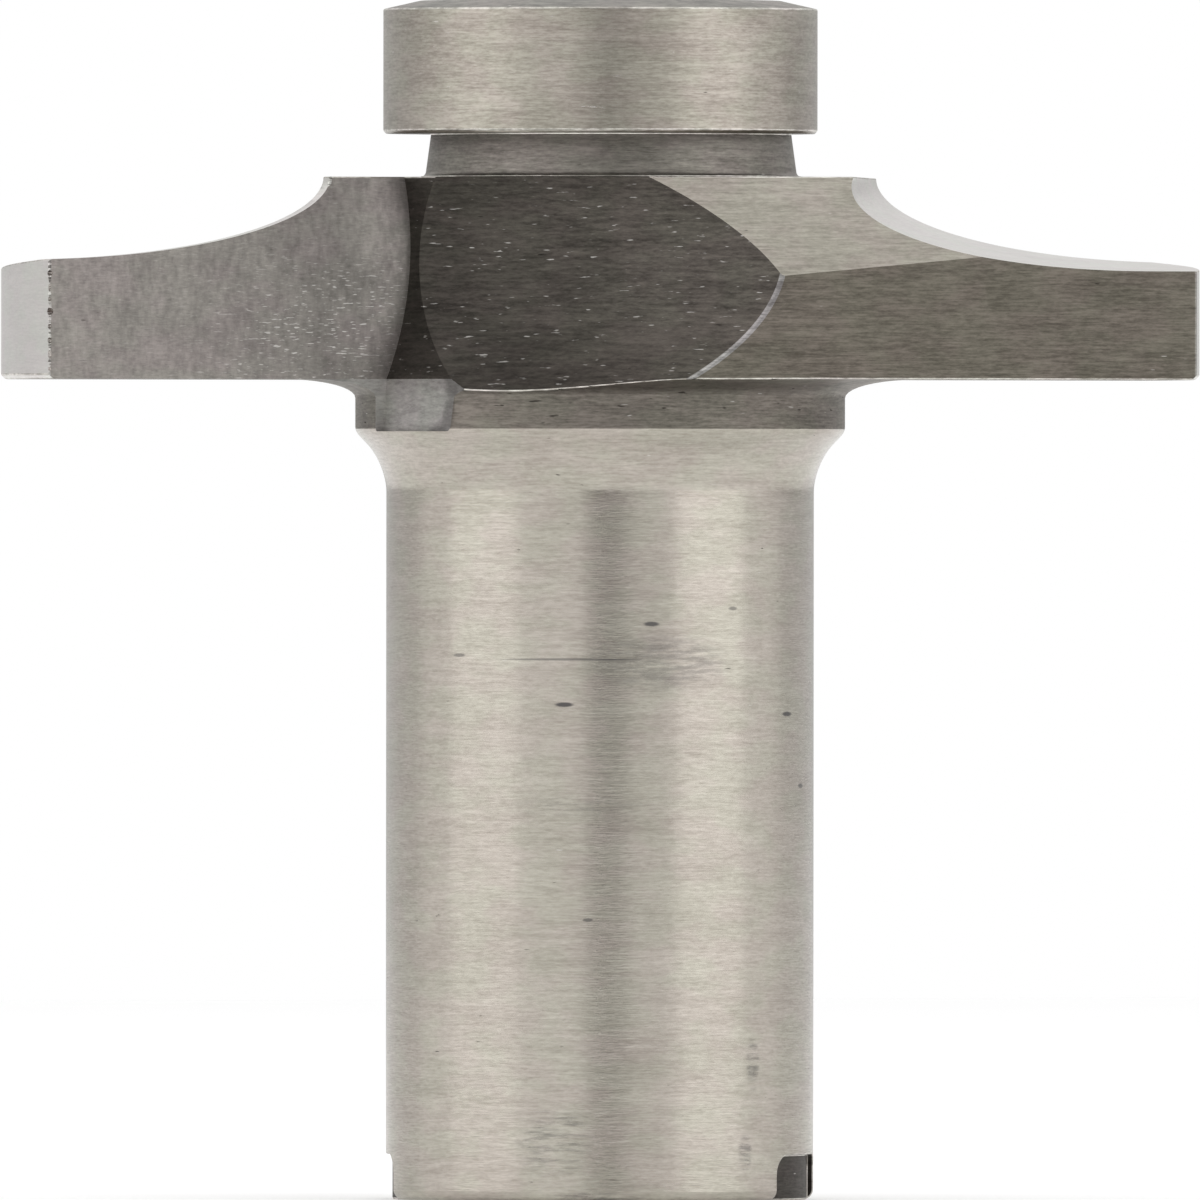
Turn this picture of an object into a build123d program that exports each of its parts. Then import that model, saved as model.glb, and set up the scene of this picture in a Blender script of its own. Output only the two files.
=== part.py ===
from build123d import *

import os
from math import cos, radians, sin, sqrt

# Router bit: one solid of tool steel, turned between centres, milled to two
# wings and ground. Z is the tool's axis, the origin is the centre of the
# shank's end face, and the two cutting edges lie on the X axis.
# Millimetres and degrees.

WINGS = 2

# Shank
SHANK_DIAMETER = 12.7
SHANK_LENGTH = 21.82
SHANK_END_ROUND = 0.3

# Taper and collar between shank and head
TAPER_HEIGHT = 0.98
TAPER_FOOT_ROUND = 2.0
TAPER_TOP_ROUND = 0.35
COLLAR_DIAMETER = 14.55
COLLAR_HEIGHT = 1.55
FLARE_WIDTH = 2.1
FLARE_HEIGHT = 0.55

# Cutter head
CUTTING_DIAMETER = 35.6
HEAD_HEIGHT = 6.0
HEAD_CORNER = 0.12

# Concave cutting profile: a quarter of an ellipse that starts upright at the
# head's top and runs out level past the cutting diameter. Behind the cutting
# edge it keeps its full size over a narrow margin, and then falls away
PROFILE_START_DIAMETER = 17.5
PROFILE_WIDTH = 9.9
PROFILE_DEPTH = 2.48
MARGIN_WIDTH = 0.5
FORM_RELIEF = 29.5
AXIAL_RELIEF = 1.8

# Back of each wing: an upright flat, and above it a facet that leans back
# from a ridge that rises outwards
BACK_DISTANCE = 8.9
RIDGE_HEIGHT = 2.87
RIDGE_RISE = 5.1
FACET_LEAN = 36.0

# Wall at the inner end of each rake face, left by the rounded rim of the wheel that
# grinds the face: hollow along its height, it runs out in the collar
RAKE_WALL_ROOT = 6.15
RAKE_WALL_RADIUS = 10.5
RAKE_WALL_CENTRE_HEIGHT = 3.95
RAKE_WALL_RUNOUT = 7.0
RAKE_WALL_DRAFT = 10.0

# Gullet in front of each wing, cut by a large wheel at a slant to the rake face
WEB_HALF = 4.7
GULLET_SLANT = 46.0
GULLET_CENTRE_HEIGHT = 3.7
GULLET_HALF_HEIGHT = 6.8
GULLET_REACH = 13.8

# Neck and solid pilot
NECK_DIAMETER = 11.0
NECK_TOP_DIAMETER = 10.7
NECK_LENGTH = 1.3
NECK_RUNOUT = 0.35
NECK_FOOT_ROUND = 0.2
PILOT_DIAMETER = 12.9
PILOT_LENGTH = 3.95
PILOT_CHAMFER_WIDTH = 1.1
PILOT_CHAMFER_HEIGHT = 0.25
PILOT_EDGE = 0.08

# Two shallow, unground reliefs in the shank's end
END_RELIEF_HEIGHT = 1.35
END_RELIEF_DEPTH = 0.2
END_RELIEF_ROUND = 0.6
WIDE_RELIEF_WIDTH = 3.9
WIDE_RELIEF_ANGLE = -39.7
NARROW_RELIEF_WIDTH = 3.4
NARROW_RELIEF_ANGLE = 156.0

# Heights and radii that follow
shank_radius = SHANK_DIAMETER / 2
collar_radius = COLLAR_DIAMETER / 2
cutting_radius = CUTTING_DIAMETER / 2
neck_radius = NECK_DIAMETER / 2
neck_top_radius = NECK_TOP_DIAMETER / 2
pilot_radius = PILOT_DIAMETER / 2
profile_start = PROFILE_START_DIAMETER / 2
taper_top = SHANK_LENGTH + TAPER_HEIGHT
head_base = taper_top + COLLAR_HEIGHT
head_top = head_base + HEAD_HEIGHT
pilot_base = head_top + NECK_LENGTH
pilot_top = pilot_base + PILOT_LENGTH
gullet_centre = head_base + GULLET_CENTRE_HEIGHT
rake_root = WEB_HALF / sin(radians(GULLET_SLANT))
rake_wall_centre = head_base + RAKE_WALL_CENTRE_HEIGHT
rake_wall_axis = RAKE_WALL_ROOT + RAKE_WALL_RADIUS
rake_wall_foot = rake_wall_axis - sqrt(
    RAKE_WALL_RADIUS**2 - (rake_wall_centre - head_base) ** 2
)
rake_wall_top = rake_wall_axis - sqrt(
    RAKE_WALL_RADIUS**2 - (rake_wall_centre - head_top) ** 2
)
beyond = cutting_radius

# Cutter for one wing, the one on +X, whose rake face looks along +Y
with BuildPart() as wing_cutter:
    # form relief: the space over the profile, carried straight back over the
    # margin, and then back, inwards and down
    with BuildSketch(Plane.XZ.offset(MARGIN_WIDTH)) as over_profile:
        with BuildLine():
            EllipticalCenterArc(
                (profile_start + PROFILE_WIDTH, head_top),
                PROFILE_WIDTH,
                PROFILE_DEPTH,
                start_angle=180,
                arc_size=90,
            )
            Polyline(
                (profile_start + PROFILE_WIDTH, head_top - PROFILE_DEPTH),
                (cutting_radius + beyond, head_top - PROFILE_DEPTH),
                (cutting_radius + beyond, pilot_top),
                (profile_start, pilot_top),
                (profile_start, head_top),
            )
        make_face()
    extrude(over_profile.sketch, amount=MARGIN_WIDTH, dir=(0, 1, 0))
    extrude(
        amount=cutting_radius,
        dir=(
            -sin(radians(FORM_RELIEF)),
            -cos(radians(FORM_RELIEF)),
            -sin(radians(AXIAL_RELIEF)),
        ),
    )
    # rake face: one upright plane through the axis
    with BuildSketch(Plane.XZ):
        with BuildLine():
            ThreePointArc(
                (rake_wall_foot, head_base),
                (RAKE_WALL_ROOT, rake_wall_centre),
                (rake_wall_top, head_top),
            )
            Polyline(
                (rake_wall_top, head_top),
                (rake_wall_top, pilot_top),
                (cutting_radius + beyond, pilot_top),
                (cutting_radius + beyond, taper_top),
                (RAKE_WALL_RUNOUT, taper_top),
                (rake_wall_foot, head_base),
            )
        make_face()
    extrude(
        amount=cutting_radius,
        dir=(-sin(radians(RAKE_WALL_DRAFT)), cos(radians(RAKE_WALL_DRAFT)), 0),
    )
    # upright back flat
    with BuildSketch(Plane.XY.offset(head_base - FLARE_HEIGHT)):
        with Locations((0, -BACK_DISTANCE)):
            Rectangle(2 * cutting_radius, beyond, align=(Align.CENTER, Align.MAX))
    extrude(amount=pilot_top - head_base)
    # leaning facet over it
    with BuildSketch(
        Plane(
            origin=(0, -BACK_DISTANCE, head_base + RIDGE_HEIGHT),
            x_dir=(cos(radians(RIDGE_RISE)), 0, sin(radians(RIDGE_RISE))),
            z_dir=(
                -sin(radians(FACET_LEAN)) * sin(radians(RIDGE_RISE)),
                -cos(radians(FACET_LEAN)),
                sin(radians(FACET_LEAN)) * cos(radians(RIDGE_RISE)),
            ),
        )
    ):
        Rectangle(4 * cutting_radius, beyond, align=(Align.CENTER, Align.MIN))
    extrude(amount=beyond)

# Cutter for the gullet in front of the same wing
with BuildPart() as gullet_cutter:
    with BuildSketch(
        Plane(
            origin=(
                rake_root + GULLET_REACH * sin(radians(GULLET_SLANT)),
                GULLET_REACH * cos(radians(GULLET_SLANT)),
                gullet_centre,
            ),
            x_dir=(sin(radians(GULLET_SLANT)), cos(radians(GULLET_SLANT)), 0),
            z_dir=(-cos(radians(GULLET_SLANT)), sin(radians(GULLET_SLANT)), 0),
        )
    ):
        Ellipse(GULLET_REACH, GULLET_HALF_HEIGHT)
    extrude(amount=2 * cutting_radius, both=True)
    split(bisect_by=Plane.XZ, keep=Keep.BOTTOM)

# Neck, with the round that it stands on
with BuildPart() as neck:
    with BuildSketch(Plane.XZ):
        with BuildLine():
            CenterArc(
                (neck_radius + NECK_FOOT_ROUND, head_top + NECK_FOOT_ROUND),
                NECK_FOOT_ROUND,
                start_angle=180,
                arc_size=90,
            )
            Polyline(
                (neck_radius + NECK_FOOT_ROUND, head_top),
                (0, head_top),
                (0, pilot_base),
                (neck_top_radius, pilot_base),
                (neck_radius, head_top + NECK_FOOT_ROUND),
            )
        make_face()
    revolve(axis=Axis.Z)

# Cutters for the two reliefs in the shank's end
end_relief_cutters = []
for width, angle in (
    (WIDE_RELIEF_WIDTH, WIDE_RELIEF_ANGLE),
    (NARROW_RELIEF_WIDTH, NARROW_RELIEF_ANGLE),
):
    with BuildPart() as end_relief_cutter:
        with BuildSketch(
            Plane(
                origin=(0, 0, 0),
                x_dir=(-sin(radians(angle)), cos(radians(angle)), 0),
                z_dir=(cos(radians(angle)), sin(radians(angle)), 0),
            )
        ):
            RectangleRounded(width, 2 * END_RELIEF_HEIGHT, END_RELIEF_ROUND)
        extrude(amount=SHANK_DIAMETER)
        Cylinder(shank_radius - END_RELIEF_DEPTH, 4 * END_RELIEF_HEIGHT, mode=Mode.SUBTRACT)
    end_relief_cutters.append(end_relief_cutter.part)

with BuildPart() as router_bit:
    # turned blank: shank, taper, collar and the disc of the head
    with BuildSketch(Plane.XZ):
        with BuildLine():
            FilletPolyline(
                (0, 0),
                (shank_radius, 0),
                (shank_radius, SHANK_LENGTH),
                (collar_radius, taper_top),
                (collar_radius, head_base - FLARE_HEIGHT),
                radius=(SHANK_END_ROUND, TAPER_FOOT_ROUND, TAPER_TOP_ROUND),
            )
            EllipticalCenterArc(
                (collar_radius + FLARE_WIDTH, head_base - FLARE_HEIGHT),
                FLARE_WIDTH,
                FLARE_HEIGHT,
                start_angle=180,
                arc_size=-90,
            )
            Polyline(
                (collar_radius + FLARE_WIDTH, head_base),
                (cutting_radius - HEAD_CORNER, head_base),
                (cutting_radius, head_base + HEAD_CORNER),
                (cutting_radius, head_top),
                (0, head_top),
                (0, 0),
            )
        make_face()
    revolve(axis=Axis.Z)
    # the two wings
    with PolarLocations(0, WINGS):
        add(wing_cutter.part, mode=Mode.SUBTRACT)
    # neck, ground a little off centre
    with Locations((NECK_RUNOUT, 0, 0)):
        add(neck.part)
    # pilot
    with BuildSketch(Plane.XZ):
        with BuildLine():
            Polyline(
                (0, pilot_base),
                (pilot_radius - PILOT_EDGE, pilot_base),
                (pilot_radius, pilot_base + PILOT_EDGE),
                (pilot_radius, pilot_top - PILOT_CHAMFER_HEIGHT),
                (pilot_radius - PILOT_CHAMFER_WIDTH, pilot_top),
                (0, pilot_top),
                close=True,
            )
        make_face()
    revolve(axis=Axis.Z)
    # gullets, which just graze the neck and run out in the collar
    with PolarLocations(0, WINGS):
        add(gullet_cutter.part, mode=Mode.SUBTRACT)
    # reliefs in the shank's end
    for cutter in end_relief_cutters:
        add(cutter, mode=Mode.SUBTRACT)

router_bit.part.label = "router_bit"

os.makedirs("parts", exist_ok=True)
export_step(router_bit.part, "parts/router_bit.step")
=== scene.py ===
# Router bit of solid high-speed steel, with a plain shank, two wings ground to a concave corner profile,
# an undercut neck and a solid pilot. It is shaped in the order of the shop, and each wheel leaves its own
# finish on what it cuts. The shapes are made in millimetres and brought to metres when the bit is done.

import math
import random

import bmesh
import bpy
from mathutils import Matrix, Vector


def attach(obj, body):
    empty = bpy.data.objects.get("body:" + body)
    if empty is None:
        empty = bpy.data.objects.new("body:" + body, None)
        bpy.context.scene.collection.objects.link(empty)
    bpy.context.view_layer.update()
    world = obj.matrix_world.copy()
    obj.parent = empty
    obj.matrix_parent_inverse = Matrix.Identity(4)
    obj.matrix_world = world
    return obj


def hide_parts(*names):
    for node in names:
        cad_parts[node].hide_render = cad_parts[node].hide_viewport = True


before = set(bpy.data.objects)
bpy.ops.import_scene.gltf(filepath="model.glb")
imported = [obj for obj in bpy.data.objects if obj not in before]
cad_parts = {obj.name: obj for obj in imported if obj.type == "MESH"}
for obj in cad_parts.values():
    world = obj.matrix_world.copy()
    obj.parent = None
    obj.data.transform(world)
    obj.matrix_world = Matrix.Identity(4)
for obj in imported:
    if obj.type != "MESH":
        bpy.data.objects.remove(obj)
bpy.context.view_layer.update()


# ---------------------------------------------------------------------------------------------------
# Blank: one bar of high-speed steel turned between centres, with the shank, the taper, the collar and
# the disc of the head in one. The shank and taper are ground bright, and the rest stays as turned.

SHANK_RADIUS = 6.35
SHANK_LENGTH = 21.82
SHANK_END_ROUND = 0.3
TAPER_HEIGHT = 0.98
TAPER_FOOT_SPAN = 0.795
TAPER_TOP_SPAN = 0.139
COLLAR_RADIUS = 7.275
COLLAR_HEIGHT = 1.55
FLARE_WIDTH = 2.1
FLARE_HEIGHT = 0.55
FLARE_STEPS = 10
SHANK_END_STEPS = 5
TAPER_FOOT_STEPS = 12
TAPER_TOP_STEPS = 4
HEAD_HEIGHT = 6.0
HEAD_CORNER = 0.12
CUTTING_RADIUS = 17.8
ROUND_STEPS = 256
NEAR = 0.001
MM = 0.001

taper_top = SHANK_LENGTH + TAPER_HEIGHT
head_base = taper_top + COLLAR_HEIGHT
head_top = head_base + HEAD_HEIGHT


class Wire:
    """A socket of a finish that takes part in arithmetic: each operator adds a Math node."""

    def __init__(self, finish, socket):
        self.finish = finish
        self.socket = socket

    def math(self, operation, *values):
        sockets = dict(enumerate(values))
        return self.finish.node("ShaderNodeMath", {"operation": operation}, sockets)

    def size(self):
        """Its value without the sign."""
        return self.math("ABSOLUTE", self)

    def __add__(self, other):
        return self.math("ADD", self, other)

    def __radd__(self, other):
        return self.math("ADD", other, self)

    def __sub__(self, other):
        return self.math("SUBTRACT", self, other)

    def __rsub__(self, other):
        return self.math("SUBTRACT", other, self)

    def __mul__(self, other):
        return self.math("MULTIPLY", self, other)

    def __rmul__(self, other):
        return self.math("MULTIPLY", other, self)

    def ramp(self, low, high):
        """0 below low, 1 above high, and a smooth rise between them. High may be the smaller one."""
        return self.finish.node(
            "ShaderNodeMapRange",
            {"interpolation_type": "SMOOTHSTEP"},
            {"Value": self, "From Min": low, "From Max": high},
        )


class Finish:
    """The nodes of a material, or of the room's light."""

    def __init__(self, owner):
        self.owner = owner
        owner.use_nodes = True
        self.tree = owner.node_tree
        self.tree.nodes.clear()

    def node(self, kind, settings, sockets, output=None):
        """Adds a node, sets it up, fills its sockets, and gives its first output or the one named."""
        made = self.tree.nodes.new(kind)
        for name, value in settings.items():
            setattr(made, name, value)
        for name, value in sockets.items():
            if isinstance(name, int):
                socket = made.inputs[name]
            else:
                socket = next(s for s in made.inputs if s.name == name and s.enabled)
            if isinstance(value, Wire):
                self.tree.links.new(value.socket, socket)
            else:
                socket.default_value = value
        outputs = [s for s in made.outputs if s.enabled and output in (None, s.name)]
        return Wire(self, outputs[0]) if outputs else None

    def place(self, scale=(1, 1, 1), turn=(0, 0, 0), centre=(0, 0, 0)):
        """Object coordinates in millimetres from a centre, turned and scaled."""
        here = self.node("ShaderNodeTexCoord", {}, {}, output="Object")
        from_centre = self.node(
            "ShaderNodeVectorMath",
            {"operation": "MULTIPLY_ADD"},
            {0: here, 1: (1 / MM, 1 / MM, 1 / MM), 2: [-c for c in centre]},
        )
        return self.node(
            "ShaderNodeMapping",
            {"vector_type": "POINT"},
            {"Vector": from_centre, "Rotation": turn, "Scale": scale},
        )

    def axis(self, letter):
        """How far the place lies along X, Y or Z, in millimetres."""
        return self.node("ShaderNodeSeparateXYZ", {}, {"Vector": self.place()}, output=letter)

    def noise(self, place, detail=2.0, roughness=0.5):
        """Cloudy noise about 0.5, with cells about as wide as one unit of its place."""
        return self.node(
            "ShaderNodeTexNoise",
            {},
            {"Vector": place, "Scale": 1.0, "Detail": detail, "Roughness": roughness},
        )

    def mix(self, factor, one, other, blend="MIX"):
        """One colour where factor is 0, and the other, or their blend, where it is 1."""
        as_colour = lambda value: value if isinstance(value, Wire) else (*value, 1.0)
        return self.node(
            "ShaderNodeMix",
            {"data_type": "RGBA", "blend_type": blend},
            {"Factor": factor, "A": as_colour(one), "B": as_colour(other)},
        )

    def spot(self, centre, width, height):
        """1 in the middle of a spot at a place on the bit, and 0 outside its width and height."""
        by_half_size = (2 / width, 2 / width, 2 / height)
        from_middle = self.place(by_half_size, centre=centre)
        away = self.node("ShaderNodeVectorMath", {"operation": "LENGTH"}, {0: from_middle}, "Value")
        return away.ramp(1.0, 0.5)

    def done(self, colour, roughness, height, depth):
        """Closes the finish with its shader, and with a bump of the given depth in millimetres."""
        normal = self.node(
            "ShaderNodeBump", {}, {"Height": height, "Distance": depth * MM, "Strength": 1.0}
        )
        shader = self.node(
            "ShaderNodeBsdfPrincipled",
            {},
            {"Base Color": colour, "Roughness": roughness, "Metallic": 1.0, "Normal": normal},
        )
        self.node("ShaderNodeOutputMaterial", {}, {"Surface": shader})
        return self.owner


STREAK_LENGTH = 0.7
STREAK_WIDTH = 0.05
STREAK_WEIGHT = 1.5
STREAK_ROUGHNESS = 0.12
STREAK_RELIEF = 0.6
BROAD_STREAKS = 4.0
BROAD_WEIGHT = 0.9
STAIN_CELLS = (0.35, 0.35, 0.6)
STAIN_WEIGHT = 0.9
GRAIN_CELLS = (4.0, 4.0, 14.0)
GRAIN_WEIGHT = 1.6
GRAIN_RELIEF = 0.5
HUE_CELLS = (0.6, 0.6, 1.1)
HUE_RANGE = (0.38, 0.62)
GREENISH = (0.99, 1.01, 0.985)
PINKISH = (1.012, 0.99, 1.0)
SPECK_CELLS = (1.7, 1.7, 11.0)
SPECK_START = 0.78
SPECK_FULL = 0.86
SPECK_COLOUR = (0.70, 0.68, 0.65)
SPECK_COVER = 0.6
SPECK_POLISH = 0.08
SPECK_RELIEF = 0.4
PIT_CELLS = (1.6, 1.6, 8.0)
PIT_START = 0.80
PIT_FULL = 0.86
PIT_COLOUR = (0.035, 0.03, 0.027)
PIT_COVER = 0.75
PIT_ROUGHNESS = 0.2
PIT_RELIEF = 1.5
CROWDING = 0.1
SCUFF_COLOUR = (0.10, 0.095, 0.095)
SCUFF_ROUGHNESS = 0.15


def steel(
    name,
    dark,
    light,
    roughness,
    along=(STREAK_LENGTH, STREAK_LENGTH, STREAK_WIDTH),
    turn=(0, 0, 0),
    contrast=0.5,
    specks=0.5,
    pits=0.5,
    depth=0.004,
    tone=None,
    crowd=None,
    scuffs=None,
    fine=1.0,
):
    """Bare steel with the streaks of its wheel or tool, slow stains, bright specks and dark pits.

    Tone darkens it from place to place, crowd gathers its specks, and fine makes them smaller. The
    hue, speck and pit fields have centres of their own, so that none repeats another.
    """
    finish = Finish(bpy.data.materials.new(name))
    streak_cells = [1 / a for a in along]
    streaks = finish.noise(finish.place(streak_cells, turn), detail=4.0, roughness=0.65)
    broad = finish.noise(finish.place([c / BROAD_STREAKS for c in streak_cells], turn))
    stains = finish.noise(finish.place(STAIN_CELLS), detail=4.0, roughness=0.6)
    grain = finish.noise(finish.place(GRAIN_CELLS, turn), detail=3.0, roughness=0.7)
    shift = (streaks - 0.5) * STREAK_WEIGHT + (broad - 0.5) * BROAD_WEIGHT
    shift = shift + (stains - 0.5) * STAIN_WEIGHT + (grain - 0.5) * GRAIN_WEIGHT
    colour = finish.mix((shift * contrast + 0.5).ramp(0.0, 1.0), dark, light)
    hue = finish.noise(finish.place(HUE_CELLS, centre=(9, 4, 6)), detail=3.0)
    tint = finish.mix(hue.ramp(*HUE_RANGE), GREENISH, PINKISH)
    colour = finish.mix(1.0, colour, tint, "MULTIPLY")
    if tone:
        colour = finish.mix(tone(finish), (0, 0, 0), colour)
    speck_cells = [c * fine for c in SPECK_CELLS]
    speck_field = finish.noise(finish.place(speck_cells, turn, (3, 5, 7)), detail=2.5)
    speck = speck_field.ramp(SPECK_START - CROWDING * specks, SPECK_FULL - CROWDING * specks)
    if crowd:
        speck = speck * crowd(finish)
    pit_field = finish.noise(finish.place(PIT_CELLS, turn, (13, 2, 4)))
    pit = pit_field.ramp(PIT_START - CROWDING * pits, PIT_FULL - CROWDING * pits)
    colour = finish.mix(speck * SPECK_COVER, colour, SPECK_COLOUR)
    colour = finish.mix(pit * PIT_COVER, colour, PIT_COLOUR)
    rough = roughness + (0.5 - streaks) * STREAK_ROUGHNESS + pit * PIT_ROUGHNESS - speck * SPECK_POLISH
    if scuffs:
        scuffed = scuffs(finish)
        colour = finish.mix(scuffed, colour, SCUFF_COLOUR)
        rough = rough + scuffed * SCUFF_ROUGHNESS
    height = streaks * STREAK_RELIEF + grain * GRAIN_RELIEF - pit * PIT_RELIEF + speck * SPECK_RELIEF
    return finish.done(colour, rough, height, depth)


def alone(piece):
    """Makes this piece the only one selected."""
    bpy.ops.object.select_all(action="DESELECT")
    piece.select_set(True)
    bpy.context.view_layer.objects.active = piece


def select(piece, kind, test):
    """In edit mode, selects the vertices, edges or faces of a piece that pass a test."""
    bpy.ops.mesh.select_mode(type=kind)
    bpy.ops.mesh.select_all(action="DESELECT")
    mesh = bmesh.from_edit_mesh(piece.data)
    for part in {"VERT": mesh.verts, "EDGE": mesh.edges, "FACE": mesh.faces}[kind]:
        if test(part):
            part.select_set(True)
    bmesh.update_edit_mesh(piece.data)


def turned(name, outline):
    """A round piece about the Z axis: a disc, extruded to each further radius and height."""
    bpy.ops.object.select_all(action="DESELECT")
    radius, height = outline[0]
    bpy.ops.mesh.primitive_circle_add(vertices=ROUND_STEPS, radius=radius, fill_type="NGON")
    piece = bpy.context.object
    piece.name = name
    bpy.ops.object.mode_set(mode="EDIT")
    bpy.ops.mesh.select_all(action="SELECT")
    half_step = math.pi / ROUND_STEPS
    bpy.ops.transform.rotate(value=half_step, orient_axis="Z", center_override=(0, 0, 0))
    bpy.ops.transform.translate(value=(0, 0, height))
    for next_radius, next_height in outline[1:]:
        rise = {"value": (0, 0, next_height - height)}
        bpy.ops.mesh.extrude_region_move(TRANSFORM_OT_translate=rise)
        share = next_radius / radius
        bpy.ops.transform.resize(value=(share, share, 1), center_override=(0, 0, next_height))
        radius, height = next_radius, next_height
    bpy.ops.mesh.select_all(action="SELECT")
    bpy.ops.mesh.normals_make_consistent(inside=False)
    bpy.ops.object.mode_set(mode="OBJECT")
    return piece


def round_ring(piece, radius, height, span, steps):
    """Rounds the ring of edges at a radius and height, over a span on each side of it."""
    alone(piece)
    bpy.ops.object.mode_set(mode="EDIT")
    on_ring = lambda v: abs(v.co.z - height) < NEAR and abs(v.co.xy.length - radius) < NEAR
    select(piece, "EDGE", lambda e: all(on_ring(v) for v in e.verts))
    bpy.ops.mesh.bevel(offset=span, segments=steps, affect="EDGES")
    bpy.ops.object.mode_set(mode="OBJECT")


def give(piece, material, test):
    """Gives a finish to the faces of a piece whose centre and normal pass a test."""
    if material.name not in piece.data.materials:
        piece.data.materials.append(material)
    index = piece.data.materials.find(material.name)
    for face in piece.data.polygons:
        if test(face.center, face.normal):
            face.material_index = index


# Each scuff's turn about the axis in degrees, height on the shank, width and height, how thinly it is
# strewn, and how dark it is
SCUFFS = (
    (-97.0, 15.95, 5.2, 2.0, 0.46, 0.42),
    (-123.0, 16.05, 5.0, 0.09, 0.30, 0.6),
    (-119.0, 11.7, 5.4, 0.7, 0.56, 0.3),
    (-126.0, 1.77, 2.8, 2.6, 0.56, 0.5),
    (-68.0, 4.1, 0.7, 2.0, 0.56, 0.6),
    (-71.0, 1.41, 0.7, 1.4, 0.54, 0.6),
    (-114.0, 0.14, 3.4, 0.35, 0.46, 0.6),
    (-99.8, 17.10, 0.6, 0.18, 0.0, 0.9),
    (-123.3, 14.71, 0.7, 0.18, 0.0, 0.95),
    (-52.8, 14.43, 0.7, 0.18, 0.0, 0.95),
    (-154.7, 16.17, 0.6, 0.14, 0.0, 0.6),
    (-75.4, 17.56, 0.4, 0.14, 0.0, 0.6),
    (-116.9, 8.34, 0.4, 0.14, 0.0, 0.7),
    (-44.1, 12.30, 0.5, 0.18, 0.0, 0.8),
    (70.0, 9.2, 5.0, 1.6, 0.5, 0.4),
    (115.0, 17.4, 0.6, 0.18, 0.0, 0.9),
    (40.0, 5.1, 0.6, 0.18, 0.0, 0.8),
)
SCUFF_BLUR = 0.14


def shank_scuffs(finish):
    """Places where chips and the jaws of a chuck have rubbed the shank, each broken up into streaks."""
    cloud = finish.noise(finish.place((1.1, 1.1, 9.0), centre=(1, 8, 3)), detail=4.0, roughness=0.7)
    rubbed = 0.0
    for degrees, rise, width, height, thin, strength in SCUFFS:
        turn = math.radians(degrees)
        centre = (SHANK_RADIUS * math.cos(turn), SHANK_RADIUS * math.sin(turn), rise)
        strewn = cloud.ramp(thin - SCUFF_BLUR, thin + SCUFF_BLUR)
        rubbed = finish.spot(centre, width, height) * strewn * strength + rubbed
    return rubbed


ground_shank = steel(
    "ground_shank",
    (0.315, 0.285, 0.245),
    (0.575, 0.54, 0.48),
    0.22,
    contrast=0.42,
    pits=0.45,
    specks=0.35,
    scuffs=shank_scuffs,
)
turned_collar = steel(
    "turned_collar", (0.09, 0.081, 0.07), (0.265, 0.242, 0.21), 0.5, contrast=0.5, pits=1.1, specks=0.75
)
ground_land = steel(
    "ground_land", (0.56, 0.54, 0.52), (0.80, 0.78, 0.75), 0.34, contrast=0.3, pits=0.2, specks=0.2
)

flare_start = head_base - FLARE_HEIGHT
flare_turns = [math.pi / 2 * step / FLARE_STEPS for step in range(1, FLARE_STEPS + 1)]
flare = [
    (
        COLLAR_RADIUS + FLARE_WIDTH * (1 - math.cos(turn)),
        flare_start + FLARE_HEIGHT * math.sin(turn),
    )
    for turn in flare_turns
]
bit = turned(
    "router_bit_dressed",
    [
        (SHANK_RADIUS, 0),
        (SHANK_RADIUS, SHANK_LENGTH),
        (COLLAR_RADIUS, taper_top),
        (COLLAR_RADIUS, flare_start),
        *flare,
        (CUTTING_RADIUS - HEAD_CORNER, head_base),
        (CUTTING_RADIUS, head_base + HEAD_CORNER),
        (CUTTING_RADIUS, head_top),
    ],
)
round_ring(bit, SHANK_RADIUS, 0, SHANK_END_ROUND, SHANK_END_STEPS)
round_ring(bit, SHANK_RADIUS, SHANK_LENGTH, TAPER_FOOT_SPAN, TAPER_FOOT_STEPS)
round_ring(bit, COLLAR_RADIUS, taper_top, TAPER_TOP_SPAN, TAPER_TOP_STEPS)
give(bit, turned_collar, lambda centre, normal: True)
give(bit, ground_shank, lambda centre, normal: centre.z < taper_top + TAPER_TOP_SPAN / 2)
give(bit, ground_land, lambda centre, normal: centre.xy.length > CUTTING_RADIUS - 2 * HEAD_CORNER)


# ---------------------------------------------------------------------------------------------------
# Wings: two are left when the disc is cut away around them. A formed wheel grinds the concave profile,
# with a narrow margin behind the cutting edge and the relief behind that; a flat wheel grinds the rake
# face; and the back is milled to an upright flat with a leaning facet over it.

PROFILE_START = 8.75
PROFILE_WIDTH = 9.9
PROFILE_DEPTH = 2.48
PROFILE_STEPS = 160
MARGIN_WIDTH = 0.5
FORM_RELIEF = math.radians(29.5)
AXIAL_RELIEF = math.radians(1.8)
BACK_DISTANCE = 8.9
RIDGE_HEIGHT = 2.87
RIDGE_RISE = math.radians(5.1)
FACET_LEAN = math.radians(36.0)
RAKE_WALL_ROOT = 6.15
RAKE_WALL_RADIUS = 10.5
RAKE_WALL_CENTRE_HEIGHT = 3.95
RAKE_WALL_RUNOUT = 7.0
RAKE_WALL_STEPS = 24
RAKE_WALL_DRAFT = math.radians(10.0)
WEB_HALF = 4.7
GULLET_SLANT = math.radians(46.0)
GULLET_CENTRE_HEIGHT = 3.7
PILOT_TOP = 35.6
WELD = 0.004
GRIND_SLANT = math.radians(5)
TURNS = (0.0, math.pi)

gullet_centre = head_base + GULLET_CENTRE_HEIGHT
rake_root = WEB_HALF / math.sin(GULLET_SLANT)


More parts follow.
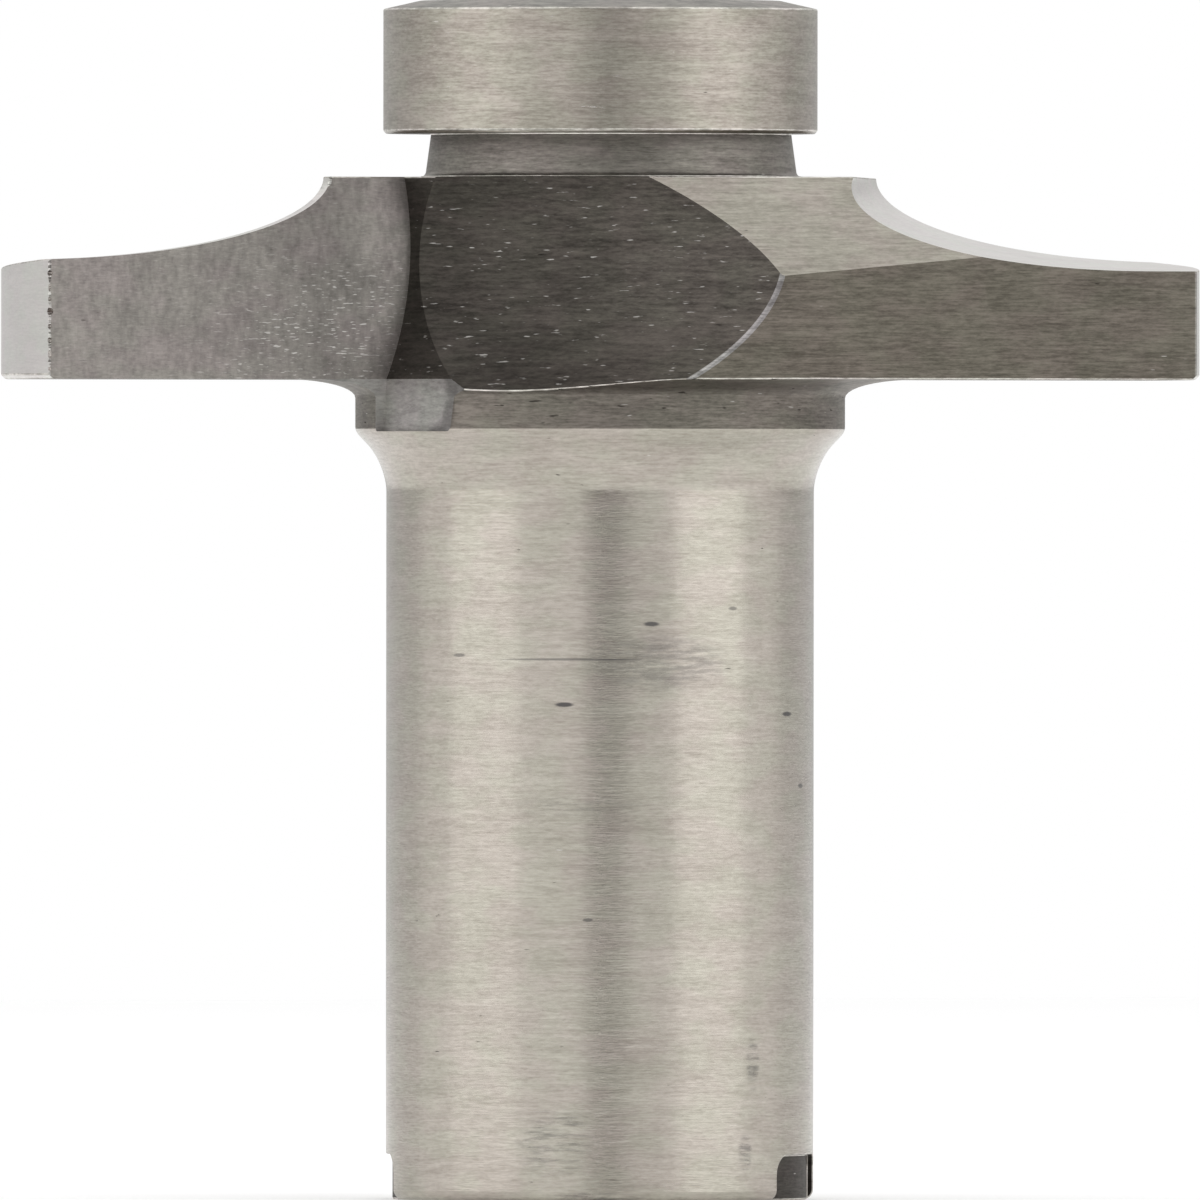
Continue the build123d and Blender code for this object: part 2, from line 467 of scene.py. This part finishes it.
def block(name, low, high):
    """A block between two opposite corners."""
    bpy.ops.object.select_all(action="DESELECT")
    low, high = Vector(low), Vector(high)
    bpy.ops.mesh.primitive_cube_add(size=1, location=(low + high) / 2, scale=high - low)
    bpy.ops.object.transform_apply(location=True, rotation=True, scale=True)
    bpy.context.object.name = name
    return bpy.context.object


def nudge(piece, test, move):
    """Moves the vertices of a piece whose place passes a test."""
    alone(piece)
    bpy.ops.object.mode_set(mode="EDIT")
    select(piece, "VERT", lambda v: test(v.co))
    bpy.ops.transform.translate(value=move)
    bpy.ops.object.mode_set(mode="OBJECT")


def seat(piece, x_way, z_way, origin):
    """Puts a piece that was made at the origin into its own place and direction."""
    x_way, z_way = Vector(x_way), Vector(z_way)
    ways = Matrix((x_way, z_way.cross(x_way), z_way)).transposed()
    piece.matrix_world = Matrix.Translation(origin) @ ways.to_4x4()
    alone(piece)
    bpy.ops.object.transform_apply(location=True, rotation=True, scale=True)


def cut(piece, wheel, finish, turn=0.0):
    """Cuts a wheel's shape, turned about the axis, out of a piece, and leaves its finish there."""
    alone(wheel)
    bpy.ops.object.duplicate()
    copy = bpy.context.object
    copy.data.materials.clear()
    copy.data.materials.append(finish)
    bpy.ops.transform.rotate(value=-turn, orient_axis="Z", center_override=(0, 0, 0))
    bpy.ops.object.transform_apply(location=True, rotation=True, scale=True)
    alone(piece)
    boolean = piece.modifiers.new("cut", "BOOLEAN")
    boolean.operation = "DIFFERENCE"
    boolean.solver = "EXACT"
    boolean.material_mode = "TRANSFER"
    boolean.object = copy
    bpy.ops.object.modifier_apply(modifier=boolean.name)
    bpy.data.objects.remove(copy)


def put_away(*wheels):
    """Removes cutters that are no longer needed, and welds the slivers that they left on the bit."""
    for wheel in wheels:
        bpy.data.objects.remove(wheel)
    alone(bit)
    bpy.ops.object.mode_set(mode="EDIT")
    bpy.ops.mesh.select_all(action="SELECT")
    bpy.ops.mesh.remove_doubles(threshold=WELD)
    bpy.ops.object.mode_set(mode="OBJECT")


def oval(name, half_width, half_height, steps):
    """A flat oval about the origin, with its width along X and its height along Y."""
    bpy.ops.object.select_all(action="DESELECT")
    bpy.ops.mesh.primitive_circle_add(vertices=steps, radius=1, fill_type="NGON")
    piece = bpy.context.object
    piece.name = name
    piece.scale = (half_width, half_height, 1)
    bpy.ops.object.transform_apply(location=False, rotation=False, scale=True)
    return piece


form_wheel = oval("form_wheel", PROFILE_WIDTH, PROFILE_DEPTH, PROFILE_STEPS)
seat(form_wheel, (1, 0, 0), (0, -1, 0), (PROFILE_START + PROFILE_WIDTH, HEAD_CORNER, head_top))
profile_middle = PROFILE_START + PROFILE_WIDTH + NEAR
nudge(form_wheel, lambda place: place.x > profile_middle, (CUTTING_RADIUS, 0, 0))
relief_way = Vector((-math.sin(FORM_RELIEF), -math.cos(FORM_RELIEF), -math.sin(AXIAL_RELIEF)))
alone(form_wheel)
bpy.ops.object.mode_set(mode="EDIT")
bpy.ops.mesh.select_all(action="SELECT")
over_margin = {"value": (0, -MARGIN_WIDTH - HEAD_CORNER, 0)}
bpy.ops.mesh.extrude_region_move(TRANSFORM_OT_translate=over_margin)
bpy.ops.mesh.extrude_region_move(TRANSFORM_OT_translate={"value": relief_way * CUTTING_RADIUS})
bpy.ops.mesh.select_all(action="SELECT")
bpy.ops.mesh.normals_make_consistent(inside=False)
bpy.ops.object.mode_set(mode="OBJECT")


def wall_depth(height):
    """How far from the axis the wall beside the rake face stands at a height."""
    above_centre = height - head_base - RAKE_WALL_CENTRE_HEIGHT
    return RAKE_WALL_ROOT + RAKE_WALL_RADIUS - math.sqrt(RAKE_WALL_RADIUS**2 - above_centre**2)


rake_wheel = block("rake_wheel", (0, 0, taper_top), (2 * CUTTING_RADIUS, CUTTING_RADIUS, PILOT_TOP))
wall_rows = [
    head_base + HEAD_HEIGHT * step / RAKE_WALL_STEPS for step in range(RAKE_WALL_STEPS + 1)
]
bpy.ops.object.mode_set(mode="EDIT")
for height in wall_rows:
    bpy.ops.mesh.select_all(action="SELECT")
    bpy.ops.mesh.bisect(plane_co=(0, 0, height), plane_no=(0, 0, 1))
bpy.ops.object.mode_set(mode="OBJECT")
at_wall = lambda place: place.x < CUTTING_RADIUS
wall_outline = [(taper_top, RAKE_WALL_RUNOUT)]
wall_outline += [(height, wall_depth(height)) for height in wall_rows]
wall_outline += [(PILOT_TOP, wall_depth(head_top))]
for height, depth in wall_outline:
    in_row = lambda place: at_wall(place) and abs(place.z - height) < NEAR
    nudge(rake_wheel, in_row, (depth, 0, 0))
nudge(
    rake_wheel,
    lambda place: at_wall(place) and place.y > CUTTING_RADIUS / 2,
    (-CUTTING_RADIUS * math.tan(RAKE_WALL_DRAFT), 0, 0),
)

back_mill = block(
    "back_mill",
    (-CUTTING_RADIUS, -2 * CUTTING_RADIUS, flare_start),
    (CUTTING_RADIUS, -BACK_DISTANCE, PILOT_TOP - FLARE_HEIGHT),
)
facet_wheel = block(
    "facet_wheel", (-2 * CUTTING_RADIUS, 0, 0), (2 * CUTTING_RADIUS, CUTTING_RADIUS, CUTTING_RADIUS)
)
seat(
    facet_wheel,
    (math.cos(RIDGE_RISE), 0, math.sin(RIDGE_RISE)),
    (
        -math.sin(FACET_LEAN) * math.sin(RIDGE_RISE),
        -math.cos(FACET_LEAN),
        math.sin(FACET_LEAN) * math.cos(RIDGE_RISE),
    ),
    (0, -BACK_DISTANCE, head_base + RIDGE_HEIGHT),
)

RAKE_DULL = 0.72
FULL_TONE_FROM_EDGE = 3.0
TONE_WAVER = 8.0
# A fringe of the rake face beside the wall is painted lighter, as a painted highlight
PAINTED_FRINGE_WIDTH = 2.2
PAINTED_FRINGE_CORE = 0.5
PAINTED_FRINGE_WAVER = 1.5
SPECKS_EVERYWHERE = 0.15
SPECKS_FROM_EDGE = 3.5
SPECKS_FROM_ROOT = 2.0
SPECKS_TOP = 4.2
SPECKS_DENSE_BELOW = 2.0


def darker_inwards_painted_fringe(finish):
    """The rake face is darker towards the root, but for a painted highlight in a fringe beside the wall.
    """
    out = finish.axis("X").size()
    cloud = finish.noise(finish.place((0.5, 0.5, 0.5), centre=(5, 1, 2)), detail=3.0)
    wavering = out + (cloud - 0.5) * TONE_WAVER
    brighter = wavering.ramp(rake_root, CUTTING_RADIUS - FULL_TONE_FROM_EDGE)
    # Painted highlight: the fringe beside the wall is lighter
    wavering = out + (cloud - 0.5) * PAINTED_FRINGE_WAVER
    painted_fringe = wavering.ramp(rake_root + PAINTED_FRINGE_WIDTH, rake_root + PAINTED_FRINGE_CORE)
    return RAKE_DULL + (1 - RAKE_DULL) * (brighter + painted_fringe)


def low_and_inwards(finish):
    """The bright specks crowd in the lower, inner part of the rake face."""
    out = finish.axis("X").size()
    inner = out.ramp(CUTTING_RADIUS - SPECKS_FROM_EDGE, rake_root + SPECKS_FROM_ROOT)
    low = finish.axis("Z").ramp(head_base + SPECKS_TOP, head_base + SPECKS_DENSE_BELOW)
    return SPECKS_EVERYWHERE + (1 - SPECKS_EVERYWHERE) * inner * low


rake_face = steel(
    "ground_rake_face",
    (0.15, 0.138, 0.130),
    (0.36, 0.332, 0.31),
    0.44,
    along=(0.22, 0.8, 0.5),
    contrast=0.46,
    specks=1.75,
    pits=0.45,
    tone=darker_inwards_painted_fringe,
    crowd=low_and_inwards,
    fine=1.9,
)
back_flat = steel(
    "milled_back_flat",
    (0.085, 0.076, 0.062),
    (0.205, 0.184, 0.155),
    0.5,
    contrast=0.6,
    specks=0.3,
    pits=0.35,
)
upper_facet = steel(
    "ground_facet",
    (0.22, 0.202, 0.174),
    (0.43, 0.402, 0.355),
    0.42,
    turn=(0, GRIND_SLANT, 0),
    specks=0.3,
)
for turn in TURNS:
    cut(bit, form_wheel, ground_land, turn)
    cut(bit, rake_wheel, rake_face, turn)
    cut(bit, back_mill, back_flat, turn)
    cut(bit, facet_wheel, upper_facet, turn)
put_away(form_wheel, rake_wheel, back_mill, facet_wheel)


# ---------------------------------------------------------------------------------------------------
# Neck and pilot: the neck is undercut a little off centre and left as turned. The pilot over it is
# ground bright, with a wide, low chamfer at its top. Both are one with the head.

NECK_RADIUS = 5.5
NECK_TOP_RADIUS = 5.35
NECK_LENGTH = 1.3
NECK_RUNOUT = 0.35
NECK_FOOT_ROUND = 0.2
NECK_FOOT_STEPS = 5
PILOT_RADIUS = 6.45
PILOT_CHAMFER_WIDTH = 1.1
PILOT_CHAMFER_HEIGHT = 0.25
PILOT_EDGE = 0.08
ROOT_DEPTH = 0.6
FACES_DOWN = -0.9

pilot_base = head_top + NECK_LENGTH
turned_neck = steel(
    "turned_neck", (0.12, 0.11, 0.098), (0.33, 0.305, 0.275), 0.45, contrast=0.5, pits=0.3
)
ground_pilot = steel(
    "ground_pilot", (0.25, 0.225, 0.193), (0.485, 0.452, 0.398), 0.30, contrast=0.6, pits=0.5, specks=0.7
)
pilot_chamfer = steel(
    "pilot_chamfer", (0.13, 0.12, 0.108), (0.31, 0.288, 0.258), 0.45, contrast=0.7, pits=0.6, specks=0.8
)

foot_turns = [math.pi / 2 * step / NECK_FOOT_STEPS for step in range(1, NECK_FOOT_STEPS + 1)]
foot = [
    (
        NECK_RADIUS + NECK_FOOT_ROUND * (1 - math.sin(turn)),
        head_top + NECK_FOOT_ROUND * (1 - math.cos(turn)),
    )
    for turn in foot_turns
]
neck = turned(
    "neck",
    [
        (NECK_RADIUS + NECK_FOOT_ROUND, head_top - ROOT_DEPTH),
        *foot,
        (NECK_TOP_RADIUS, pilot_base),
        (NECK_TOP_RADIUS, pilot_base + ROOT_DEPTH),
    ],
)
nudge(neck, lambda place: True, (NECK_RUNOUT, 0, 0))
give(neck, turned_neck, lambda centre, normal: True)
pilot = turned(
    "pilot",
    [
        (PILOT_RADIUS - PILOT_EDGE, pilot_base),
        (PILOT_RADIUS, pilot_base + PILOT_EDGE),
        (PILOT_RADIUS, PILOT_TOP - PILOT_CHAMFER_HEIGHT),
        (PILOT_RADIUS - PILOT_CHAMFER_WIDTH, PILOT_TOP),
    ],
)
give(pilot, ground_pilot, lambda centre, normal: True)
give(pilot, pilot_chamfer, lambda centre, normal: centre.z > PILOT_TOP - PILOT_CHAMFER_HEIGHT)
give(pilot, turned_neck, lambda centre, normal: normal.z < FACES_DOWN)
for part in (neck, pilot):
    alone(bit)
    union = bit.modifiers.new("union", "BOOLEAN")
    union.operation = "UNION"
    union.solver = "EXACT"
    union.material_mode = "TRANSFER"
    union.object = part
    bpy.ops.object.modifier_apply(modifier=union.name)
    bpy.data.objects.remove(part)


# ---------------------------------------------------------------------------------------------------
# Gullets: one in front of each wing, hogged out by a large, coarse wheel at a slant to the rake face.
# They graze the neck, run out in the collar and stay dark and rough, with painted shade deepest in their
# roots.

GULLET_HALF_HEIGHT = 6.8
GULLET_REACH = 13.8
GULLET_STEPS = 256
FACES_ASIDE = 0.5

gullet_wheel = oval("gullet_wheel", GULLET_REACH, GULLET_HALF_HEIGHT, GULLET_STEPS)
bpy.ops.object.mode_set(mode="EDIT")
bpy.ops.mesh.select_all(action="SELECT")
bpy.ops.transform.translate(value=(0, 0, -2 * CUTTING_RADIUS))
through = {"value": (0, 0, 4 * CUTTING_RADIUS)}
bpy.ops.mesh.extrude_region_move(TRANSFORM_OT_translate=through)
bpy.ops.object.mode_set(mode="OBJECT")
slant_way = Vector((math.sin(GULLET_SLANT), math.cos(GULLET_SLANT), 0))
seat(
    gullet_wheel,
    slant_way,
    (-math.cos(GULLET_SLANT), math.sin(GULLET_SLANT), 0),
    Vector((rake_root, 0, gullet_centre)) + slant_way * GULLET_REACH,
)
bpy.ops.object.mode_set(mode="EDIT")
bpy.ops.mesh.select_all(action="SELECT")
clear_of_face = (0, NEAR, 0)
bpy.ops.mesh.bisect(plane_co=clear_of_face, plane_no=(0, 1, 0), use_fill=True, clear_inner=True)
bpy.ops.mesh.select_all(action="SELECT")
bpy.ops.mesh.normals_make_consistent(inside=False)
bpy.ops.object.mode_set(mode="OBJECT")

# Painted shade in the root of each gullet: how dark it gets, and where it starts, ends, rises and wavers
ROOT_SHADE_TONE = 0.62
ROOT_SHADE_CORE = 1.5
ROOT_SHADE_REACH = 9.0
ROOT_SHADE_RISE = 0.35
ROOT_SHADE_WAVER = 5.0
RUN_OUT_TONE = 0.55
RUN_OUT_PLACE = (6.5, 1.2, 23.7)
RUN_OUT_WIDTH = 5.4
RUN_OUT_HEIGHT = 2.9
RUN_OUT_WAVER = 1.2


def painted_root_shade(finish):
    """Painted shade: darkest low in the root of the gullet, and lighter towards its mouth and its top."""
    from_root = finish.axis("Y").size() + (finish.axis("Z") - head_base) * ROOT_SHADE_RISE
    cloud = finish.noise(finish.place((0.45, 0.45, 0.8), centre=(2, 2, 2)), detail=4.0)
    brighter = (from_root + (cloud - 0.5) * ROOT_SHADE_WAVER).ramp(ROOT_SHADE_CORE, ROOT_SHADE_REACH)
    return ROOT_SHADE_TONE + (1 - ROOT_SHADE_TONE) * brighter


def run_out(finish):
    """Bright in the middle of where each wheel ran out in the collar, and dull around that."""
    out, forward, high = RUN_OUT_PLACE
    bright = 0.0
    for side in (1, -1):
        centre = (side * out, side * forward, high)
        bright = finish.spot(centre, RUN_OUT_WIDTH, RUN_OUT_HEIGHT) + bright
    cloud = finish.noise(finish.place((0.9, 0.9, 0.9)), detail=3.0)
    bright = (bright + (cloud - 0.5) * RUN_OUT_WAVER).ramp(0.1, 0.6)
    return RUN_OUT_TONE + (1 - RUN_OUT_TONE) * bright


rough_gullet = steel(
    "rough_gullet",
    (0.048, 0.043, 0.038),
    (0.175, 0.158, 0.138),
    0.55,
    along=(0.9, 0.9, 0.1),
    specks=1.2,
    pits=0.6,
    depth=0.012,
    tone=painted_root_shade,
    fine=1.15,
)
rake_wall = steel(
    "rake_wall",
    (0.26, 0.25, 0.24),
    (0.60, 0.58, 0.56),
    0.5,
    along=(0.5, 0.5, 0.12),
    contrast=0.45,
    specks=0.8,
    tone=run_out,
)
for turn in TURNS:
    cut(bit, gullet_wheel, rough_gullet, turn)
put_away(gullet_wheel)
bit.data.materials.append(rake_wall)
rake_index, wall_index, gullet_index = (
    bit.data.materials.find(material.name) for material in (rake_face, rake_wall, rough_gullet)
)
for face in bit.data.polygons:
    if face.material_index == rake_index and face.center.z < head_base:
        face.material_index = wall_index
    elif face.material_index == rake_index and abs(face.normal.x) > FACES_ASIDE:
        face.material_index = gullet_index


# ---------------------------------------------------------------------------------------------------
# Shank end: two shallow reliefs were cut for the driver of the grinding machine, and stay unground.

END_RELIEF_HEIGHT = 1.35
END_RELIEF_DEPTH = 0.2
END_RELIEF_ROUND = 0.6
END_RELIEF_ROUND_STEPS = 6
WIDE_RELIEF = (3.9, math.radians(-39.7))
NARROW_RELIEF = (3.4, math.radians(156))

end_relief = steel(
    "end_relief", (0.03, 0.026, 0.022), (0.11, 0.098, 0.088), 0.55, contrast=0.5, specks=0.6
)
core_radius = SHANK_RADIUS - END_RELIEF_DEPTH
core = turned(
    "core", [(core_radius, -4 * END_RELIEF_HEIGHT), (core_radius, 4 * END_RELIEF_HEIGHT)]
)
for width, angle in (WIDE_RELIEF, NARROW_RELIEF):
    relief = block(
        "relief",
        (0, -width / 2, -END_RELIEF_HEIGHT),
        (2 * SHANK_RADIUS, width / 2, END_RELIEF_HEIGHT),
    )
    bpy.ops.object.mode_set(mode="EDIT")
    select(relief, "EDGE", lambda e: abs((e.verts[0].co - e.verts[1].co).x) > SHANK_RADIUS)
    bpy.ops.mesh.bevel(offset=END_RELIEF_ROUND, segments=END_RELIEF_ROUND_STEPS, affect="EDGES")
    bpy.ops.object.mode_set(mode="OBJECT")
    cut(relief, core, end_relief)
    cut(bit, relief, end_relief, angle)
    put_away(relief)
put_away(core)


# ---------------------------------------------------------------------------------------------------
# Finishing: small nicks stand in the two upright cutting edges, and the other edges are broken by use
# and handling and shine a little. The bit is then brought to metres, in the place of its solid.

EDGE_BREAK = 0.04
QUIET_BREAK = 0.05
RIM_BREAK = 0.09
CORNER_WEAR = 0.07
EDGE_STEPS = 2
NICKS = 8
NICK_SEED = 11
NICK_LOW = 0.12
NICK_SPACING = 0.4
NICK_SHIFT = (0.35, 0.65)
NICK_REACH = (0.05, 0.14)
NICK_HEIGHT = (0.05, 0.13)
EDGE_ANGLE = math.radians(28)
SMOOTH_ANGLE = math.radians(20)
UPRIGHT = 0.9

bright_edge = steel(
    "bright_edge", (0.30, 0.28, 0.25), (0.80, 0.77, 0.72), 0.36, contrast=0.9, specks=0.6, pits=0.4
)
quiet_edge = steel(
    "quiet_edge", (0.14, 0.13, 0.12), (0.36, 0.34, 0.31), 0.45, contrast=0.5, specks=0.4, pits=0.4
)
gullet_rim = steel(
    "gullet_rim", (0.17, 0.163, 0.16), (0.42, 0.405, 0.40), 0.45, contrast=0.8, specks=0.6, pits=0.5
)
cutting_edge = steel(
    "cutting_edge", (0.13, 0.12, 0.11), (0.78, 0.76, 0.73), 0.4, contrast=1.5, specks=0.9, pits=0.9
)
chipped_steel = steel(
    "chipped_steel", (0.07, 0.052, 0.042), (0.62, 0.58, 0.55), 0.45, contrast=1.3, specks=0.9, pits=0.9
)
random.seed(NICK_SEED)
nicks = []
for side in (1, -1):
    for nick in range(NICKS):
        height = head_base + NICK_LOW + (nick + random.uniform(*NICK_SHIFT)) * NICK_SPACING
        reach = random.uniform(*NICK_REACH)
        place = (side * CUTTING_RADIUS, 0, height)
        bpy.ops.mesh.primitive_ico_sphere_add(subdivisions=2, radius=1, location=place)
        bpy.ops.transform.resize(value=(reach, reach, random.uniform(*NICK_HEIGHT)))
        nicks.append(bpy.context.object)
alone(nicks[0])
for nick in nicks:
    nick.select_set(True)
bpy.ops.object.join()
bpy.ops.object.transform_apply(location=True, rotation=True, scale=True)
cut(bit, nicks[0], chipped_steel)
bpy.data.objects.remove(nicks[0])
edge_finishes = {chipped_steel}
for material in (bright_edge, quiet_edge, gullet_rim, cutting_edge):
    bit.data.materials.append(material)
    edge_finishes.add(material)


def finishes_at(edge):
    """The finishes that meet at an edge."""
    return {bit.data.materials[face.material_index] for face in edge.link_faces}


def is_run_out(edge):
    """Where the rake face's wheel ran out in the foot of the collar, it left no edge to break."""
    low = min(vertex.co.z for vertex in edge.verts) < taper_top + TAPER_TOP_SPAN
    return low and finishes_at(edge) & {rake_face, rake_wall}


def is_upright(edge):
    """Whether an edge runs up the bit rather than across it."""
    return abs((edge.verts[0].co - edge.verts[1].co).normalized().z) > UPRIGHT


def break_edges(width, material, test):
    """Bevels the sharp edges of the bit that pass a test, are not bevelled yet and can be."""
    alone(bit)
    bpy.ops.object.mode_set(mode="EDIT")
    is_open = lambda e: not (is_run_out(e) or finishes_at(e) & edge_finishes)
    is_sharp = lambda e: len(e.link_faces) == 2 and e.calc_face_angle() > EDGE_ANGLE
    select(bit, "EDGE", lambda e: is_sharp(e) and is_open(e) and test(e))
    bpy.ops.mesh.bevel(
        offset=width,
        segments=EDGE_STEPS,
        affect="EDGES",
        miter_outer="ARC",
        material=bit.data.materials.find(material.name),
    )
    bpy.ops.object.mode_set(mode="OBJECT")


# Where these finishes meet, one runs into the other and leaves no edge to break
is_blend = lambda e: finishes_at(e) in (
    {rough_gullet},
    {rough_gullet, upper_facet},
    {rough_gullet, rake_wall},
    {rough_gullet, rake_face},
    {rake_wall},
    {rake_wall, rake_face},
    {rake_wall, turned_collar},
    {upper_facet, ground_land},
    {upper_facet, back_flat},
    {back_flat, ground_land},
    {ground_pilot, turned_neck},
)
is_rim = lambda e: finishes_at(e) == {rough_gullet, back_flat}
is_cutting = lambda e: finishes_at(e) == {rake_face, ground_land}
is_heel = lambda e: finishes_at(e) == {back_flat, ground_land} and is_upright(e)
break_edges(RIM_BREAK, gullet_rim, is_rim)
break_edges(CORNER_WEAR, cutting_edge, lambda e: is_cutting(e) and is_upright(e))
break_edges(QUIET_BREAK, quiet_edge, is_heel)
break_edges(EDGE_BREAK, bright_edge, lambda e: not (is_blend(e) or is_cutting(e)))
bpy.ops.object.mode_set(mode="EDIT")
bpy.ops.mesh.select_all(action="SELECT")
bpy.ops.transform.resize(value=(MM, MM, MM), center_override=(0, 0, 0))
bpy.ops.object.mode_set(mode="OBJECT")
bpy.ops.object.shade_smooth_by_angle(angle=SMOOTH_ANGLE)
flat_finishes = {rake_face, back_flat, upper_facet}
bpy.ops.object.mode_set(mode="EDIT")
select(bit, "FACE", lambda f: bit.data.materials[f.material_index] in flat_finishes)
bpy.ops.mesh.faces_shade_flat()
bpy.ops.object.mode_set(mode="OBJECT")
normals = bit.modifiers.new("normals", "WEIGHTED_NORMAL")
normals.keep_sharp = True
bpy.ops.object.modifier_apply(modifier=normals.name)
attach(bit, "root")
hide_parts("router_bit")


# ---------------------------------------------------------------------------------------------------
# Table: a plain pale plane that the bit stands on. It isn't part of the bit.

TABLE_HALF = 0.6
TABLE_WHITE = 0.28
TABLE_MIRRORED = 0.25

table_top = Finish(bpy.data.materials.new("pale_table"))
cloudy = table_top.noise(table_top.place((0.02, 0.02, 0.02)))
pale = table_top.mix(cloudy, (0.86, 0.86, 0.86), (0.88, 0.88, 0.88))
camera_sees = table_top.node("ShaderNodeLightPath", {}, {}, output="Is Camera Ray")
steel_sees = table_top.node("ShaderNodeLightPath", {}, {}, output="Is Glossy Ray")
glow = camera_sees * TABLE_WHITE + steel_sees * TABLE_MIRRORED
matt = table_top.node(
    "ShaderNodeBsdfPrincipled",
    {},
    {"Base Color": pale, "Roughness": 0.8, "Emission Color": (1, 1, 1, 1), "Emission Strength": glow},
)
table_top.node("ShaderNodeOutputMaterial", {}, {"Surface": matt})
bpy.ops.object.select_all(action="DESELECT")
bpy.ops.mesh.primitive_plane_add(size=2 * TABLE_HALF)
table = bpy.context.object
table.name = "table"
table.data.materials.append(table_top.owner)


# ---------------------------------------------------------------------------------------------------
# Light: a plain white room, darker behind the camera and low on the far wall, and three large soft
# boxes. The steel mirrors the room's dark parts; the camera sees the room as white.

CAMERA_AZIMUTH = math.radians(-23.7)
DARK_CENTRE = math.radians(4)
DARK_CORE = math.radians(6)
DARK_EDGE = math.radians(15)
DIM_LEFT_EDGE = math.radians(-16)
DIM_LEFT_CORE = math.radians(-8)
DIM_RIGHT_CORE = math.radians(24)
DIM_RIGHT_EDGE = math.radians(52)
FAR_EDGE = math.radians(104)
FAR_CORE = math.radians(120)
FAR_TOP = 0.4
FAR_LOW = 0.12
MIRRORED_WHITE = 0.99
DIM = 0.19
DARK = 0.52
FAR_DARK = 0.38
ROOM_LIGHT = 0.75
BOX_SIZE = 0.45

to_camera = Vector((math.sin(CAMERA_AZIMUTH), -math.cos(CAMERA_AZIMUTH), 0))
to_right = Vector((math.cos(CAMERA_AZIMUTH), math.sin(CAMERA_AZIMUTH), 0))
up = Vector((0, 0, 1))
middle = Vector((0, 0, PILOT_TOP / 2 * MM))

room = bpy.data.worlds.new("white_room")
bpy.context.scene.world = room
room_light = Finish(room)
camera_ray = room_light.node("ShaderNodeLightPath", {}, {}, output="Is Camera Ray")
glossy_ray = room_light.node("ShaderNodeLightPath", {}, {}, output="Is Glossy Ray")
glass_ray = room_light.node("ShaderNodeLightPath", {}, {}, output="Is Transmission Ray")
way = room_light.node("ShaderNodeTexCoord", {}, {}, output="Generated")
facing, across, rise = (
    room_light.node("ShaderNodeVectorMath", {"operation": "DOT_PRODUCT"}, {0: way, 1: direction})
    for direction in (to_camera, to_right, up)
)
bearing = across.math("ARCTAN2", across, facing)
off_centre = bearing - DARK_CENTRE
at_camera = off_centre.size().ramp(DARK_EDGE, DARK_CORE)
near_camera = off_centre.ramp(DIM_LEFT_EDGE, DIM_LEFT_CORE)
near_camera = near_camera * off_centre.ramp(DIM_RIGHT_EDGE, DIM_RIGHT_CORE)
far_wall = bearing.size().ramp(FAR_EDGE, FAR_CORE) * rise.ramp(FAR_TOP, FAR_LOW)
mirrored = MIRRORED_WHITE - DIM * near_camera - DARK * at_camera - FAR_DARK * far_wall
seen = camera_ray + glass_ray
strength = seen + (1 - seen) * (glossy_ray * mirrored + (1 - glossy_ray) * ROOM_LIGHT)
background = room_light.node(
    "ShaderNodeBackground", {}, {"Color": (1, 1, 1, 1), "Strength": strength}
)
room_light.node("ShaderNodeOutputWorld", {}, {"Surface": background})


def soft_box(name, side, height, front, power):
    """A square soft box that looks at the bit, at a distance to the right, up and to the front."""
    data = bpy.data.lights.new(name, "AREA")
    data.shape = "SQUARE"
    data.size = BOX_SIZE
    data.energy = power
    lamp = bpy.data.objects.new(name, data)
    lamp.location = middle + to_right * side + up * height + to_camera * front
    lamp.rotation_mode = "QUATERNION"
    lamp.rotation_quaternion = (lamp.location - middle).to_track_quat("Z", "Y")
    bpy.context.scene.collection.objects.link(lamp)


soft_box("left_box", side=-0.5, height=0.15, front=0.22, power=0.30)
soft_box("right_box", side=0.5, height=0.15, front=0.26, power=0.37)
soft_box("top_box", side=0.0, height=0.55, front=0.1, power=0.6)


# ---------------------------------------------------------------------------------------------------
# Camera: a long lens, nearly level, that the bit fills from edge to edge.

PICTURE_WIDTH = 35.65 * MM
DISTANCE = 1.55
CAMERA_HEIGHT = 20 * MM
CAMERA_ROLL = math.radians(0.05)
SENSOR = 36.0

lens = bpy.data.cameras.new("camera")
lens.sensor_width = SENSOR
lens.lens = SENSOR * DISTANCE / PICTURE_WIDTH
lens.clip_start = 0.01
lens.clip_end = 10
camera = bpy.data.objects.new("camera", lens)
bpy.context.scene.collection.objects.link(camera)
camera.location = up * CAMERA_HEIGHT + to_camera * DISTANCE
camera.rotation_mode = "QUATERNION"
look = (camera.location - middle).to_track_quat("Z", "Y")
camera.rotation_quaternion = look @ Matrix.Rotation(CAMERA_ROLL, 3, "Z").to_quaternion()
bpy.context.scene.camera = camera
bpy.context.scene.view_settings.view_transform = "Standard"
